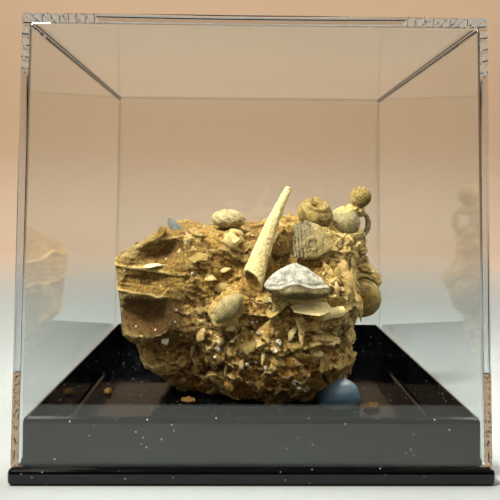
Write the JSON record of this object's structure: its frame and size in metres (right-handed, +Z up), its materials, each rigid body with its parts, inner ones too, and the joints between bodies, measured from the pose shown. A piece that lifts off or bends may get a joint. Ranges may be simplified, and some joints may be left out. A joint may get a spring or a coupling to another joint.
{
  "type": "fossil cluster in display case",
  "caption": "Block of shell-rich rock with tusk shell, snails, bivalves and sea urchins set in it, in a black tray under a clear square cover.",
  "frame": {"origin": "centre of the underside of the black base", "axes": "+Z up, -Y towards the front from which the fossils show"},
  "size_m": [0.127, 0.127, 0.1218],
  "materials": {
    "black_styrene": "gloss",
    "clear_styrene": "clear gloss",
    "shell_limestone": "rough",
    "cream_shell": "matt",
    "grey_shell": "satin",
    "slate_shell": "satin",
    "putty": "smooth"
  },
  "bodies": {
    "root": {"display_base": "black_styrene", "clear_cover": "clear_styrene", "matrix_block": "shell_limestone", "tusk_shell": "cream_shell", "triangular_bivalve": "grey_shell", "small_bivalve": "cream_shell", "pitted_urchin": "cream_shell", "ribbed_urchin": "cream_shell", "umbilicate_snail": "cream_shell", "white_snail": "grey_shell", "moon_snail": "cream_shell", "curled_fragment": "cream_shell", "shell_slab": "grey_shell", "tube_fragment": "cream_shell", "slate_shard": "slate_shell", "mounting_putty": "putty", "crumb_left": "shell_limestone", "crumb_middle": "shell_limestone", "crumb_right": "shell_limestone"}
  },
  "joints": []
}
